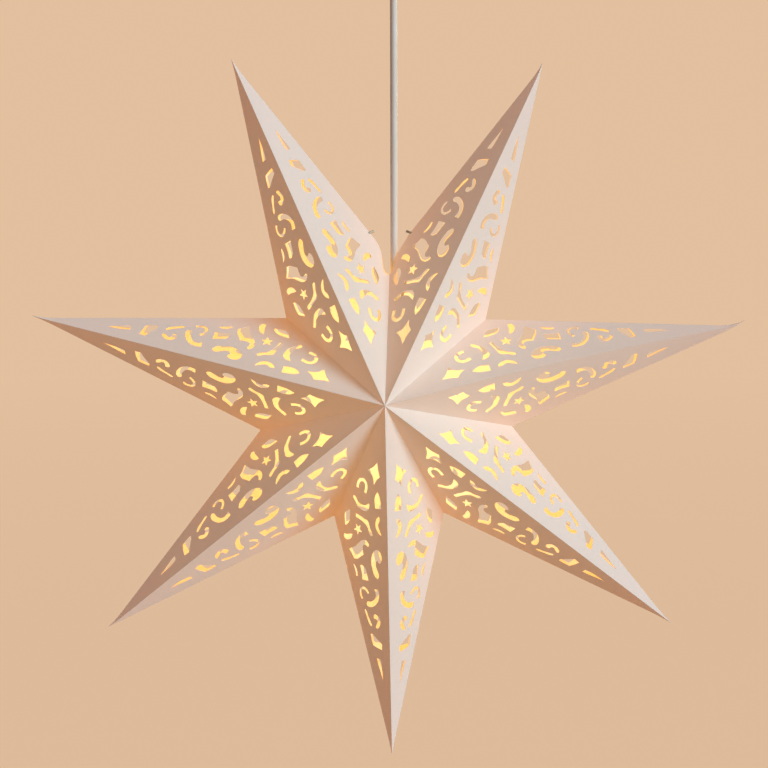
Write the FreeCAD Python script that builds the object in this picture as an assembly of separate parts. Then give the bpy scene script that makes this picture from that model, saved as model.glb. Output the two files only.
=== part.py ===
"""Hanging seven-pointed paper star lamp, modelled in millimetres.

The star is folded from seven sheets of white card. Each sheet makes one hollow arm with
four panels, two in front and two behind, and has glue margins turned in along its valleys
and a lap glued inside its rear ridge. Knife cut-outs let the light of the bulb through.
The arms are glued to each other along the valleys. A bent wire hooks into the two top
arms and sits round the neck of the lampholder, which hangs on its cord from a ceiling cup.

The origin is on the ceiling, on the line of the cord. +X is right, -Y is the front and
+Z is up.
"""

import FreeCAD
import Part
import math
import os

# The star's outline: seven arms of a {7/3} star.
ARM_COUNT = 7
TIP_REACH = 307.7
CORNER_REACH = 109.8
HALF_DEPTH = 75.0

# Where a hand-opened star has come to rest, arm by arm: each tip's turn in degrees and its
# change of reach, from the top left arm leftwards round to the top right arm.
TIP_SET = ((-1.1, 4.2), (-0.1, -2.6), (1.0, 1.9), (0.6, -0.3), (0.0, -2.0), (-1.2, -5.0), (0.7, 0.9))
# The same for the inner corner that starts each of those arms. The first is the top corner.
CORNER_SET = ((-1.2, 9.1), (0.2, -0.2), (1.4, 2.1), (1.4, 1.2), (0.2, -0.5), (0.0, -1.1), (0.2, -2.9))
ARM_NAMES = (
    "paper_arm_top_left",
    "paper_arm_left",
    "paper_arm_lower_left",
    "paper_arm_bottom",
    "paper_arm_lower_right",
    "paper_arm_right",
    "paper_arm_top_right",
)

# How the star hangs under the ceiling, and how far it hangs to the left of its cord.
STAR_DROP = 392.0
STAR_SIDE = 5.7

# The card, its glue margins along the valleys and the lap inside each rear ridge.
PAPER = 0.35
MARGIN_WIDTH = 8.0
MARGIN_START = 10.0
MARGIN_END = 8.0
MARGIN_TAPER = 10.0
LAP_WIDTH = 5.0
LAP_INSET = 26.0

# The top valleys' margins end lower than the others, by this share of the holder's rise.
TOP_MARGIN_SHARE = 0.55

# The hollow runs past the mouth of an arm by this factor, so that the arm stays open there.
HOLLOW_REACH = 1.25

# A knife reaches this many card thicknesses to each side of a panel.
KNIFE_REACH = 3.0

# The mouth for the cord: both top arms curve away from the top corner like two leaves. Each
# edge is measured from that corner, from beyond the outline fold down to the valley.
LEFT_LEAF = (
    (-10.6, 17.9),
    (-12.9, 16.0),
    (-10.4, 11.7),
    (-8.2, 6.6),
    (-6.1, -5.7),
    (-4.4, -11.7),
    (-2.2, -15.0),
)
RIGHT_LEAF = (
    (12.6, 19.4),
    (14.9, 17.5),
    (10.8, 11.5),
    (7.4, 5.9),
    (5.7, 1.3),
    (1.9, -11.5),
    (0.4, -14.0),
)
VALLEY_FOOT = (-0.3, -16.4)

# The cord and the lampholder on it. HOLDER_RISE is from the star's centre to the cap's top.
CORD_RADIUS = 3.0
CORD_PLAY = 0.15
HOLDER_RISE = 84.0
HOLDER_RADIUS = 14.0
HOLDER_WALL = 2.0
FIT_GAP = 0.3
CAP_HEIGHT = 14.0
CAP_EDGE = 3.4
CAP_SPIGOT = 5.0
BODY_HEIGHT = 40.0
GRIP_RADIUS = 5.5
GRIP_HEIGHT = 8.0
GRIP_SPIGOT_RADIUS = 4.6
GRIP_SPIGOT = 4.0
GRIP_CHAMFER = 1.0
INSERT_TOP_GAP = 0.3
INSERT_HEIGHT = 30.0
INSERT_FLOOR = 10.0

# The bulb: a small globe with a 14 mm screw base.
BULB_BASE_RADIUS = 7.0
BULB_NECK_RADIUS = 9.5
BULB_NECK = 6.0
BULB_GLOBE_RADIUS = 22.5
BULB_GLOBE_DROP = 34.0

# The hanger wire: a hook through the outline fold of each top arm, and a U round the neck.
WIRE_RADIUS = 1.0
WIRE_PLAY = 0.2
WIRE_BEND = 2.5
HOOK_SIDE = 2.4
HOOK_HALF_SPAN = 22.3
HOOK_HEIGHT = 138.5
HOOK_LENGTH = 9.2
HOOK_SLOPE = 20.0
WIRE_HOLE_PLAY = 0.3

# The ceiling fitting.
CUP_RADIUS = 45.0
CUP_HEIGHT = 26.0
CUP_EDGE = 10.0
CUP_WALL = 1.5
BRACKET_LENGTH = 80.0
BRACKET_WIDTH = 14.0
BRACKET_THICKNESS = 2.0
TERMINAL_LENGTH = 24.0
TERMINAL_WIDTH = 13.0
TERMINAL_HEIGHT = 11.0

# The cutting template of one panel: the front centre at the origin, the ridge along u, and
# the inner corner at TEMPLATE_CORNER. The outlines follow the knife, with straight cuts.
TEMPLATE_RIDGE = 316.7
TEMPLATE_CORNER = (113.9, 68.7)
LITTLE_STAR_POINTS = 5
LITTLE_STAR_PLACE = (120.1, 36.9)
LITTLE_STAR_REACH = 5.6
LITTLE_STAR_WAIST = 2.4
LITTLE_STAR_TURN = 5.0
MAIN_CUTS = (
    ((55.4, 10.3), (68.8, 8.2), (77.0, 15.4), (64.2, 22.5)),
    ((82.0, 11.2), (97.2, 6.9), (97.5, 14.9)),
    ((104.0, 9.6), (112.2, 11.2), (121.0, 7.0), (112.5, 14.9)),
    ((134.8, 13.5), (139.4, 8.0), (146.4, 9.4), (146.2, 14.6), (161.2, 11.6), (154.5, 19.3), (140.8, 20.0)),
    ((86.4, 25.4), (76.6, 23.4), (72.4, 30.6), (82.0, 37.6), (76.6, 31.0), (78.6, 27.4)),
    ((94.2, 21.6), (101.0, 23.6), (101.8, 32.2), (91.2, 43.0), (90.0, 40.2), (97.0, 31.4)),
    ((122.6, 18.0), (123.0, 21.2), (114.6, 26.4), (109.4, 39.6), (106.0, 39.2), (110.4, 23.6)),
    ((129.8, 24.0), (133.4, 23.6), (133.4, 30.0), (142.6, 30.6), (148.4, 42.8), (140.4, 49.2), (128.8, 30.6)),
    ((154.4, 28.2), (165.4, 24.6), (165.8, 32.9), (152.4, 35.1)),
    ((171.0, 13.2), (180.4, 12.2), (189.2, 20.8), (187.4, 28.2), (179.2, 16.8), (171.8, 17.8)),
    ((177.0, 24.4), (171.3, 31.6), (175.2, 37.0), (184.0, 33.6), (175.6, 32.6)),
    ((195.4, 18.9), (198.0, 11.6), (207.4, 14.6), (206.4, 17.0), (199.6, 15.8)),
    ((221.2, 9.3), (226.5, 9.7), (224.6, 21.3), (213.9, 23.8)),
    ((235.7, 12.2), (256.0, 9.4), (235.7, 17.0)),
    ((103.5, 46.8), (115.8, 48.4), (119.3, 54.0), (107.4, 53.3)),
)
FRONT_CUTS = (
    ((125.9, 44.0), (132.6, 50.6), (128.4, 56.0)),
    ((152.8, 45.0), (157.4, 39.8), (164.4, 39.6)),
    ((192.4, 30.6), (206.6, 21.2), (204.8, 26.2)),
)

FULL_TURN = 360.0


def star_point(reach, heading, depth=0.0):
    """Return a point at a reach and heading from the star's centre, at a depth behind it."""
    angle = math.radians(heading)
    x = reach * math.cos(angle) - STAR_SIDE
    z = reach * math.sin(angle) - STAR_DROP
    return FreeCAD.Vector(x, depth, z)


def place_in_star(x, y, z):
    """Return the row point for a point measured from the star's centre."""
    return FreeCAD.Vector(x - STAR_SIDE, y, z - STAR_DROP)


def tip_of(index):
    """Return the tip of one arm."""
    turn, change = TIP_SET[index]
    heading = 90.0 + FULL_TURN / ARM_COUNT * (index + 0.5) + turn
    return star_point(TIP_REACH + change, heading)


def corner_of(index):
    """Return the inner corner that starts one arm, counted round past the last."""
    turn, change = CORNER_SET[index % ARM_COUNT]
    heading = 90.0 + FULL_TURN / ARM_COUNT * (index % ARM_COUNT) + turn
    return star_point(CORNER_REACH + change, heading)


def flat_face(points):
    """Return the flat face inside a closed run of points."""
    return Part.Face(Part.makePolygon(list(points) + [points[0]]))


def solid_from(faces):
    """Return the solid inside a closed set of faces, with its inside inwards."""
    solid = Part.makeSolid(Part.makeShell(faces))
    if solid.Volume < 0:
        solid.reverse()
    return solid


def arm_volume(tip, front, back, first, second):
    """Return the closed volume of an arm: four panels and the two halves of its mouth."""
    return solid_from([
        flat_face((tip, front, first)),
        flat_face((tip, second, front)),
        flat_face((tip, first, back)),
        flat_face((tip, back, second)),
        flat_face((front, back, first)),
        flat_face((front, second, back)),
    ])


def middle_of(points):
    """Return the mean of some points."""
    total = FreeCAD.Vector()
    for point in points:
        total += point
    return total * (1.0 / len(points))


def plane_normal(a, b, c, inside):
    """Return the unit normal of a plane through three points, turned towards inside."""
    normal = (b - a).cross(c - a)
    normal.normalize()
    if normal.dot(inside - a) < 0:
        normal = normal * -1
    return normal


def hollow_tip(tip, front, first, second, inside):
    """Return the tip of the hollow: the point one card thickness inside all four panels."""
    one = plane_normal(tip, front, first, inside)
    two = plane_normal(tip, front, second, inside)
    spread = one.x * two.z - one.z * two.x
    x = PAPER * (two.z - one.z) / spread
    z = PAPER * (one.x - two.x) / spread
    return tip + FreeCAD.Vector(x, 0.0, z)


def little_star():
    """Return the outline of the small five-pointed star on the template."""
    points = []
    steps = 2 * LITTLE_STAR_POINTS
    for step in range(steps):
        reach = LITTLE_STAR_WAIST if step % 2 else LITTLE_STAR_REACH
        angle = math.radians(LITTLE_STAR_TURN + FULL_TURN / steps * step)
        u = LITTLE_STAR_PLACE[0] + reach * math.cos(angle)
        v = LITTLE_STAR_PLACE[1] + reach * math.sin(angle)
        points.append((u, v))
    return points


def panel_knives(centre, tip, corner, outlines):
    """Return the knives that cut a template's outlines through one panel of an arm."""
    along = tip - centre
    across = corner - centre
    normal = along.cross(across)
    normal.normalize()
    reach = KNIFE_REACH * PAPER
    knives = []
    for outline in outlines:
        points = []
        for u, v in outline:
            share = v / TEMPLATE_CORNER[1]
            run = (u - share * TEMPLATE_CORNER[0]) / TEMPLATE_RIDGE
            points.append(centre + along * run + across * share - normal * reach)
        knives.append(flat_face(points).extrude(normal * (2.0 * reach)))
    return knives


def glue_margin(centre, corner, inwards, end):
    """Return the margin turned in along one valley, flat in the plane between two arms."""
    valley = corner - centre
    length = valley.Length
    valley.normalize()
    back = FreeCAD.Vector(0.0, -math.copysign(1.0, centre.y), 0.0)
    across = back - valley * back.dot(valley)
    across.normalize()
    outline = (
        centre + valley * MARGIN_START,
        centre + valley * (length - end),
        centre + valley * (length - end - MARGIN_TAPER) + across * MARGIN_WIDTH,
        centre + valley * (MARGIN_START + MARGIN_TAPER) + across * MARGIN_WIDTH,
    )
    return flat_face(outline).extrude(inwards * PAPER)


def rear_lap(back, tip, corner, inside):
    """Return the lap of the other rear panel, glued flat inside this one along the ridge."""
    ridge = tip - back
    length = ridge.Length
    ridge.normalize()
    towards = corner - back
    across = towards - ridge * towards.dot(ridge)
    across.normalize()
    inwards = plane_normal(back, tip, corner, inside)
    start = back + inwards * PAPER
    outline = (
        start + ridge * LAP_INSET,
        start + ridge * (length - LAP_INSET),
        start + ridge * (length - LAP_INSET - MARGIN_TAPER) + across * LAP_WIDTH,
        start + ridge * (LAP_INSET + MARGIN_TAPER) + across * LAP_WIDTH,
    )
    return flat_face(outline).extrude(inwards * PAPER)


def cord_mouth():
    """Return the mouth that the cord goes in by, cut through front and back."""
    corner = corner_of(0) - FreeCAD.Vector(0.0, HALF_DEPTH, 0.0)
    outline = LEFT_LEAF + (VALLEY_FOOT,) + RIGHT_LEAF[::-1]
    points = [corner + FreeCAD.Vector(x, 0.0, z) for x, z in outline]
    return flat_face(points).extrude(FreeCAD.Vector(0.0, 2.0 * HALF_DEPTH, 0.0))


def hook_points(side):
    """Return a hook's bend and its free end. The side is -1 on the left and 1 on the right."""
    slope = math.radians(HOOK_SLOPE)
    x = HOOK_SIDE + side * HOOK_HALF_SPAN
    bend = place_in_star(x, 0.0, HOOK_HEIGHT)
    run = FreeCAD.Vector(-side * math.cos(slope), 0.0, math.sin(slope))
    return bend, bend + run * HOOK_LENGTH


def hook_hole(side):
    """Return the drill for the hole where a hook comes out through the outline fold."""
    bend, end = hook_points(side)
    run = end - bend
    length = run.Length
    run.normalize()
    return Part.makeCylinder(WIRE_RADIUS + WIRE_HOLE_PLAY, length, bend, run)


def paper_arm(index):
    """Return one folded arm of card with its margins, its lap and its cut-outs."""
    tip = tip_of(index)
    first = corner_of(index)
    second = corner_of(index + 1)
    front = star_point(0.0, 0.0, -HALF_DEPTH)
    back = star_point(0.0, 0.0, HALF_DEPTH)
    inside = middle_of((tip, first, second, front, back))
    outer = arm_volume(tip, front, back, first, second)
    apex = hollow_tip(tip, front, first, second, inside)
    far = [apex + (point - tip) * HOLLOW_REACH for point in (front, back, first, second)]
    hollow = arm_volume(apex, *far)
    sheet = outer.cut(hollow)
    knives = []
    for corner in (first, second):
        knives += panel_knives(front, tip, corner, MAIN_CUTS + FRONT_CUTS + (little_star(),))
        knives += panel_knives(back, tip, corner, MAIN_CUTS)
    sheet = sheet.cut(knives)
    margins = []
    for corner, number in ((first, index), (second, index + 1)):
        end = MARGIN_END
        if number % ARM_COUNT == 0:
            end = MARGIN_END + HOLDER_RISE * TOP_MARGIN_SHARE
        for centre in (front, back):
            inwards = plane_normal(front, back, corner, inside)
            margins.append(glue_margin(centre, corner, inwards, end).common(outer))
    margins.append(rear_lap(back, tip, first, inside).common(outer))
    sheet = sheet.fuse(margins)
    if index == 0:
        sheet = sheet.cut([cord_mouth(), hook_hole(-1)])
    if index == ARM_COUNT - 1:
        sheet = sheet.cut([cord_mouth(), hook_hole(1)])
    return sheet.removeSplitter().Solids[0]


def turned(points, x=0.0, z=0.0):
    """Return the solid turned about the vertical through x, from radius and height points."""
    profile = [FreeCAD.Vector(x + radius, 0.0, z + height) for radius, height in points]
    axis = FreeCAD.Vector(x, 0.0, 0.0)
    return flat_face(profile).revolve(axis, FreeCAD.Vector(0, 0, 1), FULL_TURN)


def cap_top():
    """Return the height of the lampholder cap's top face."""
    return HOLDER_RISE - STAR_DROP


def holder_cap():
    """Return the lampholder's cap, with a spigot that enters the body."""
    top = cap_top()
    low = -CAP_HEIGHT
    inner = HOLDER_RADIUS - HOLDER_WALL
    spigot = inner - FIT_GAP
    hole = GRIP_SPIGOT_RADIUS + FIT_GAP
    return turned((
        (hole, 0.0),
        (HOLDER_RADIUS - CAP_EDGE, 0.0),
        (HOLDER_RADIUS, -CAP_EDGE),
        (HOLDER_RADIUS, low),
        (spigot, low),
        (spigot, low - CAP_SPIGOT),
        (spigot - HOLDER_WALL, low - CAP_SPIGOT),
        (spigot - HOLDER_WALL, -HOLDER_WALL),
        (hole, -HOLDER_WALL),
    ), z=top)


def holder_body():
    """Return the lampholder's tubular body, which the cap screws onto."""
    top = cap_top() - CAP_HEIGHT
    return turned((
        (HOLDER_RADIUS - HOLDER_WALL, 0.0),
        (HOLDER_RADIUS, 0.0),
        (HOLDER_RADIUS, -BODY_HEIGHT),
        (HOLDER_RADIUS - HOLDER_WALL, -BODY_HEIGHT),
    ), z=top)


def insert_top():
    """Return the height of the insert's top, just under the cap's spigot."""
    return cap_top() - CAP_HEIGHT - CAP_SPIGOT - INSERT_TOP_GAP


def holder_insert():
    """Return the insert that holds the contacts and takes the bulb's screw base."""
    outer = HOLDER_RADIUS - HOLDER_WALL - FIT_GAP
    bore = BULB_BASE_RADIUS + FIT_GAP
    return turned((
        (0.0, 0.0),
        (outer, 0.0),
        (outer, -INSERT_HEIGHT),
        (bore, -INSERT_HEIGHT),
        (bore, -INSERT_FLOOR),
        (0.0, -INSERT_FLOOR),
    ), z=insert_top())


def bulb():
    """Return the globe bulb, seated on the contact in the insert's bore."""
    top = insert_top() - INSERT_FLOOR
    base = INSERT_HEIGHT - INSERT_FLOOR
    neck = base + BULB_NECK
    centre = neck + BULB_GLOBE_DROP - BULB_NECK
    slant = math.asin(BULB_NECK_RADIUS / BULB_GLOBE_RADIUS)
    globe_top = centre - BULB_GLOBE_RADIUS * math.cos(slant)
    points = (
        (0.0, 0.0),
        (BULB_BASE_RADIUS, 0.0),
        (BULB_BASE_RADIUS, -base),
        (BULB_NECK_RADIUS, -neck),
        (BULB_NECK_RADIUS, -globe_top),
    )
    profile = [FreeCAD.Vector(radius, 0.0, top + height) for radius, height in points]
    pole = FreeCAD.Vector(0.0, 0.0, top - centre - BULB_GLOBE_RADIUS)
    side = FreeCAD.Vector(BULB_GLOBE_RADIUS, 0.0, top - centre)
    edges = list(Part.makePolygon(profile).Edges)
    edges.append(Part.Arc(profile[-1], side, pole).toShape())
    edges.append(Part.LineSegment(pole, profile[0]).toShape())
    face = Part.Face(Part.Wire(Part.__sortEdges__(edges)))
    return face.revolve(FreeCAD.Vector(0, 0, 0), FreeCAD.Vector(0, 0, 1), FULL_TURN)


def cord_grip(seat, flip=1.0):
    """Return a cord grip whose collar stands on the seat height, or hangs under it when flipped."""
    bore = CORD_RADIUS + CORD_PLAY
    points = (
        (bore, GRIP_HEIGHT),
        (GRIP_RADIUS - GRIP_CHAMFER, GRIP_HEIGHT),
        (GRIP_RADIUS, GRIP_HEIGHT - GRIP_CHAMFER),
        (GRIP_RADIUS, 0.0),
        (GRIP_SPIGOT_RADIUS, 0.0),
        (GRIP_SPIGOT_RADIUS, -GRIP_SPIGOT),
        (bore, -GRIP_SPIGOT),
    )
    return turned([(radius, flip * height) for radius, height in points], z=seat)


def arc_between(start, corner, end, radius):
    """Return the tangent points and middle of a bend of one radius at a corner."""
    one = start - corner
    two = end - corner
    one.normalize()
    two.normalize()
    half = 0.5 * one.getAngle(two)
    reach = radius / math.tan(half)
    middle = one + two
    middle.normalize()
    nearest = radius / math.sin(half) - radius
    return corner + one * reach, corner + middle * nearest, corner + two * reach


def hanger_wire():
    """Return the wire: hook, leg, U round the grip's neck, leg and hook, all in one run."""
    height = cap_top() + WIRE_RADIUS
    loop = GRIP_RADIUS + WIRE_PLAY + WIRE_RADIUS
    edges = []
    feet = []
    for side in (-1, 1):
        bend, end = hook_points(side)
        foot = FreeCAD.Vector(side * loop, 0.0, height)
        behind = foot + FreeCAD.Vector(0.0, 2.0 * WIRE_BEND, 0.0)
        top_in, top_mid, top_out = arc_between(end, bend, foot, WIRE_BEND)
        low_in, low_mid, low_out = arc_between(bend, foot, behind, WIRE_BEND)
        edges.append(Part.LineSegment(end, top_in).toShape())
        edges.append(Part.Arc(top_in, top_mid, top_out).toShape())
        edges.append(Part.LineSegment(top_out, low_in).toShape())
        edges.append(Part.Arc(low_in, low_mid, low_out).toShape())
        feet.append(low_out)
    crown = FreeCAD.Vector(0.0, feet[0].y + loop, height)
    edges.append(Part.Arc(feet[0], crown, feet[1]).toShape())
    path = Part.Wire(Part.__sortEdges__(edges))
    bend, end = hook_points(-1)
    section = Part.Wire(Part.makeCircle(WIRE_RADIUS, end, end - bend))
    return path.makePipeShell([section], True, False)


def cord():
    """Return the straight cord, from the ceiling terminal down to the insert."""
    top = -BRACKET_THICKNESS - TERMINAL_HEIGHT
    low = insert_top()
    return Part.makeCylinder(CORD_RADIUS, top - low, FreeCAD.Vector(0, 0, low))


def ceiling_cup():
    """Return the cup that covers the ceiling terminal, open against the ceiling."""
    hole = GRIP_SPIGOT_RADIUS + FIT_GAP
    inner = CUP_RADIUS - CUP_WALL
    return turned((
        (CUP_RADIUS, 0.0),
        (CUP_RADIUS, CUP_EDGE - CUP_HEIGHT),
        (CUP_RADIUS - CUP_EDGE, -CUP_HEIGHT),
        (hole, -CUP_HEIGHT),
        (hole, CUP_WALL - CUP_HEIGHT),
        (inner - CUP_EDGE, CUP_WALL - CUP_HEIGHT),
        (inner, CUP_EDGE + CUP_WALL - CUP_HEIGHT),
        (inner, 0.0),
    ))


def centred_box(length, width, height, top):
    """Return a box centred on the cord's line with its top at a height."""
    low = FreeCAD.Vector(-0.5 * length, -0.5 * width, top - height)
    return Part.makeBox(length, width, height, low)


def ceiling_bracket():
    """Return the flat bar that is screwed to the ceiling inside the cup."""
    return centred_box(BRACKET_LENGTH, BRACKET_WIDTH, BRACKET_THICKNESS, 0.0)


def ceiling_terminal():
    """Return the terminal block under the bracket, where the cord ends."""
    return centred_box(TERMINAL_LENGTH, TERMINAL_WIDTH, TERMINAL_HEIGHT, -BRACKET_THICKNESS)


def build():
    """Return every piece of the lamp under its own name."""
    pieces = {name: paper_arm(index) for index, name in enumerate(ARM_NAMES)}
    pieces["hanger_wire"] = hanger_wire()
    pieces["holder_cord_grip"] = cord_grip(cap_top())
    pieces["lampholder_cap"] = holder_cap()
    pieces["lampholder_body"] = holder_body()
    pieces["lampholder_insert"] = holder_insert()
    pieces["bulb"] = bulb()
    pieces["cord"] = cord()
    pieces["ceiling_cup"] = ceiling_cup()
    pieces["ceiling_cord_grip"] = cord_grip(-CUP_HEIGHT, flip=-1.0)
    pieces["ceiling_bracket"] = ceiling_bracket()
    pieces["ceiling_terminal"] = ceiling_terminal()
    return pieces


os.makedirs("parts", exist_ok=True)
for node, shape in build().items():
    shape.exportStep("parts/" + node + ".step")
    print(node, "valid", shape.isValid(), "solids", len(shape.Solids), "volume", round(shape.Volume, 1))
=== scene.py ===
"""A hanging star lamp of folded and cut card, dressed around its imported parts.

Seven arms of white card hang lit from inside on a white cord. Each arm is one sheet with
four panels, folded along its ridges and glued to its neighbours along the valleys. All
sizes are in millimetres and become metres where a mesh is placed. +Z is up, -Y is the
front, and the ceiling is at height 0 above the cord.
"""

import logging
import math
import random
from dataclasses import dataclass, field
from enum import Enum

import bmesh
import bpy
from mathutils import Matrix, Vector


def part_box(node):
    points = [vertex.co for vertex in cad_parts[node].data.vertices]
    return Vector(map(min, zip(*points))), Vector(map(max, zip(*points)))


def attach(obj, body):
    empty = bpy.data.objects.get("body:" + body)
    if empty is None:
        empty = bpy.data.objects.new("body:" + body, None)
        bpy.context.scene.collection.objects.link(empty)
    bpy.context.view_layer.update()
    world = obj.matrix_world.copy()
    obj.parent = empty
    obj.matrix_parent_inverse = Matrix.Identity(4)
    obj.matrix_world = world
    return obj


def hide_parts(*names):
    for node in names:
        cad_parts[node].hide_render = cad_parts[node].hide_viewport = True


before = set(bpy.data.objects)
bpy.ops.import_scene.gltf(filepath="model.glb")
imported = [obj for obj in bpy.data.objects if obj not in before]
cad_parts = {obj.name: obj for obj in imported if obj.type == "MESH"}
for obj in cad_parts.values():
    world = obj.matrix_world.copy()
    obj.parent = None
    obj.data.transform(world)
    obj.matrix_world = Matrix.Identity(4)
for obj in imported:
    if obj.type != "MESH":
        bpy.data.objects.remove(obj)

MM = 0.001
PHOTO_PIXELS = 768
ROOT = "root"
FULL_TURN = math.tau
FOLD_SHARE = "corner_share"
PATTERN_MIDDLE = 25.0
CIRCLE = 360.0
TOP = 90.0
BOW_SEED = 7

# A bow's three shares multiply to 1/27 at most, and a lean's two to 1/4: these bring both to 1.
BOW_SCALE = 27.0
SWAY_SCALE = 4.0

# Points closer together than these become one: metres for turned pieces, else millimetres.
TURNED_WELD = 1e-6
SHEET_WELD = 0.02
FOLD_WELD = 0.03

# A point nearer than this to a valley's line lies on it, in millimetres.
VALLEY_REACH = 0.05

Point = tuple[float, float]
Triple = tuple[float, float, float]
Colour = Triple
Piece = bpy.types.Object
Material = bpy.types.Material
Socket = bpy.types.NodeSocket
Mesh = bmesh.types.BMesh
log = logging.getLogger("star_lamp")


class Half(Enum):
    """The front or the rear half of the star, by the sign of its depth."""

    FRONT = -1.0
    REAR = 1.0


class CardFace(Enum):
    """The material slots of a card mesh."""

    OUTSIDE = 0
    INSIDE = 1


# Materials


class Canvas:
    """Builds the node tree of one material, or of the world."""

    def __init__(self, name: str, world: bool = False) -> None:
        """Starts an empty tree.

        Args:
            name: The material's or the world's name.
            world: Whether it is a world.
        """
        self.owner = (bpy.data.worlds if world else bpy.data.materials).new(name)
        self.owner.use_nodes = True
        self.tree = self.owner.node_tree
        self.tree.nodes.clear()
        self.output = self.tree.nodes.new("ShaderNodeOutputWorld" if world else "ShaderNodeOutputMaterial")

    def add(self, kind: str, *values: object, operation: str | None = None,
            **sockets: object) -> bpy.types.Node:
        """Adds a node.

        Args:
            kind: The node's type, without the ShaderNode prefix.
            values: What its first inputs get, in order.
            operation: What a maths node does.
            sockets: What its named inputs get, with underscores for spaces.

        Returns:
            The new node.
        """
        node = self.tree.nodes.new("ShaderNode" + kind)
        if operation is not None:
            node.operation = operation
        for socket, value in zip(node.inputs, values):
            self.feed(socket, value)
        for name, value in sockets.items():
            self.feed(node.inputs[name.replace("_", " ")], value)
        return node

    def feed(self, socket: Socket, value: object) -> None:
        """Sets a socket's value, or links it if the value is an output socket.

        Args:
            socket: The input socket.
            value: A number, a colour or an output socket.
        """
        if isinstance(value, Socket):
            self.tree.links.new(value, socket)
        elif socket.type == "RGBA":
            socket.default_value = (*value, 1.0)
        else:
            socket.default_value = value

    def object_point(self) -> Socket:
        """Returns the surface point in the piece's own coordinates."""
        return self.add("TexCoord").outputs["Object"]

    def distance(self, place: Vector) -> Socket:
        """Returns how far the surface point lies from a place, in metres."""
        return self.add("VectorMath", self.object_point(), place, operation="DISTANCE").outputs["Value"]

    def noise(self, scale: float, detail: float, stretch: Triple | None = None) -> Socket:
        """Adds a noise pattern on the piece's own coordinates.

        Args:
            scale: How many features lie in a metre.
            detail: How many finer octaves the pattern has.
            stretch: A scale for each axis, or None for an even pattern.

        Returns:
            The pattern's value, from 0 to 1.
        """
        point = self.object_point()
        if stretch is not None:
            point = self.add("Mapping", Vector=point, Scale=stretch).outputs["Vector"]
        return self.add("TexNoise", Vector=point, Scale=scale, Detail=detail).outputs["Fac"]

    def remap(self, value: Socket, lowest: float, highest: float,
              start: float = 0.3, end: float = 0.7) -> Socket:
        """Maps a value from one range to another, clamped.

        Args:
            value: The incoming value.
            lowest: The result at the range's start.
            highest: The result at the range's end.
            start: Where the incoming range starts.
            end: Where the incoming range ends.

        Returns:
            The mapped value.
        """
        node = self.add("MapRange", Value=value, From_Min=start, From_Max=end, To_Min=lowest, To_Max=highest)
        return node.outputs["Result"]

    def ramp(self, value: Socket, stops: tuple[tuple[float, Colour], ...]) -> Socket:
        """Turns a value into a colour through a ramp.

        Args:
            value: The incoming value, from 0 to 1.
            stops: The ramp's places and colours, in order.

        Returns:
            The colour.
        """
        node = self.add("ValToRGB", Fac=value)
        elements = node.color_ramp.elements
        while len(elements) < len(stops):
            elements.new(0.5)
        for element, (place, colour) in zip(elements, stops):
            element.position = place
            element.color = (*colour, 1.0)
        return node.outputs["Color"]

    def shade(self, colour: Colour, value: Socket) -> Socket:
        """Returns a colour multiplied by a grey value."""
        return self.add("VectorMath", Vector=colour, Scale=value, operation="SCALE").outputs["Vector"]

    def bump(self, height: Socket, strength: float, distance: float) -> Socket:
        """Returns the normal of a surface with small relief.

        Args:
            height: The relief's height, from 0 to 1.
            strength: How much of the relief shows.
            distance: The relief's full height in metres.

        Returns:
            The normal socket.
        """
        node = self.add("Bump", Height=height, Strength=strength, Distance=distance)
        return node.outputs["Normal"]

    def mix(self, share: float | Socket, first: Socket, second: Socket) -> Socket:
        """Returns two shaders mixed by the second one's share."""
        return self.add("MixShader", share, first, second).outputs["Shader"]

    def finish(self, shader: Socket) -> Material | bpy.types.World:
        """Links the surface and returns the material or the world."""
        self.tree.links.new(shader, self.output.inputs["Surface"])
        return self.owner


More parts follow.
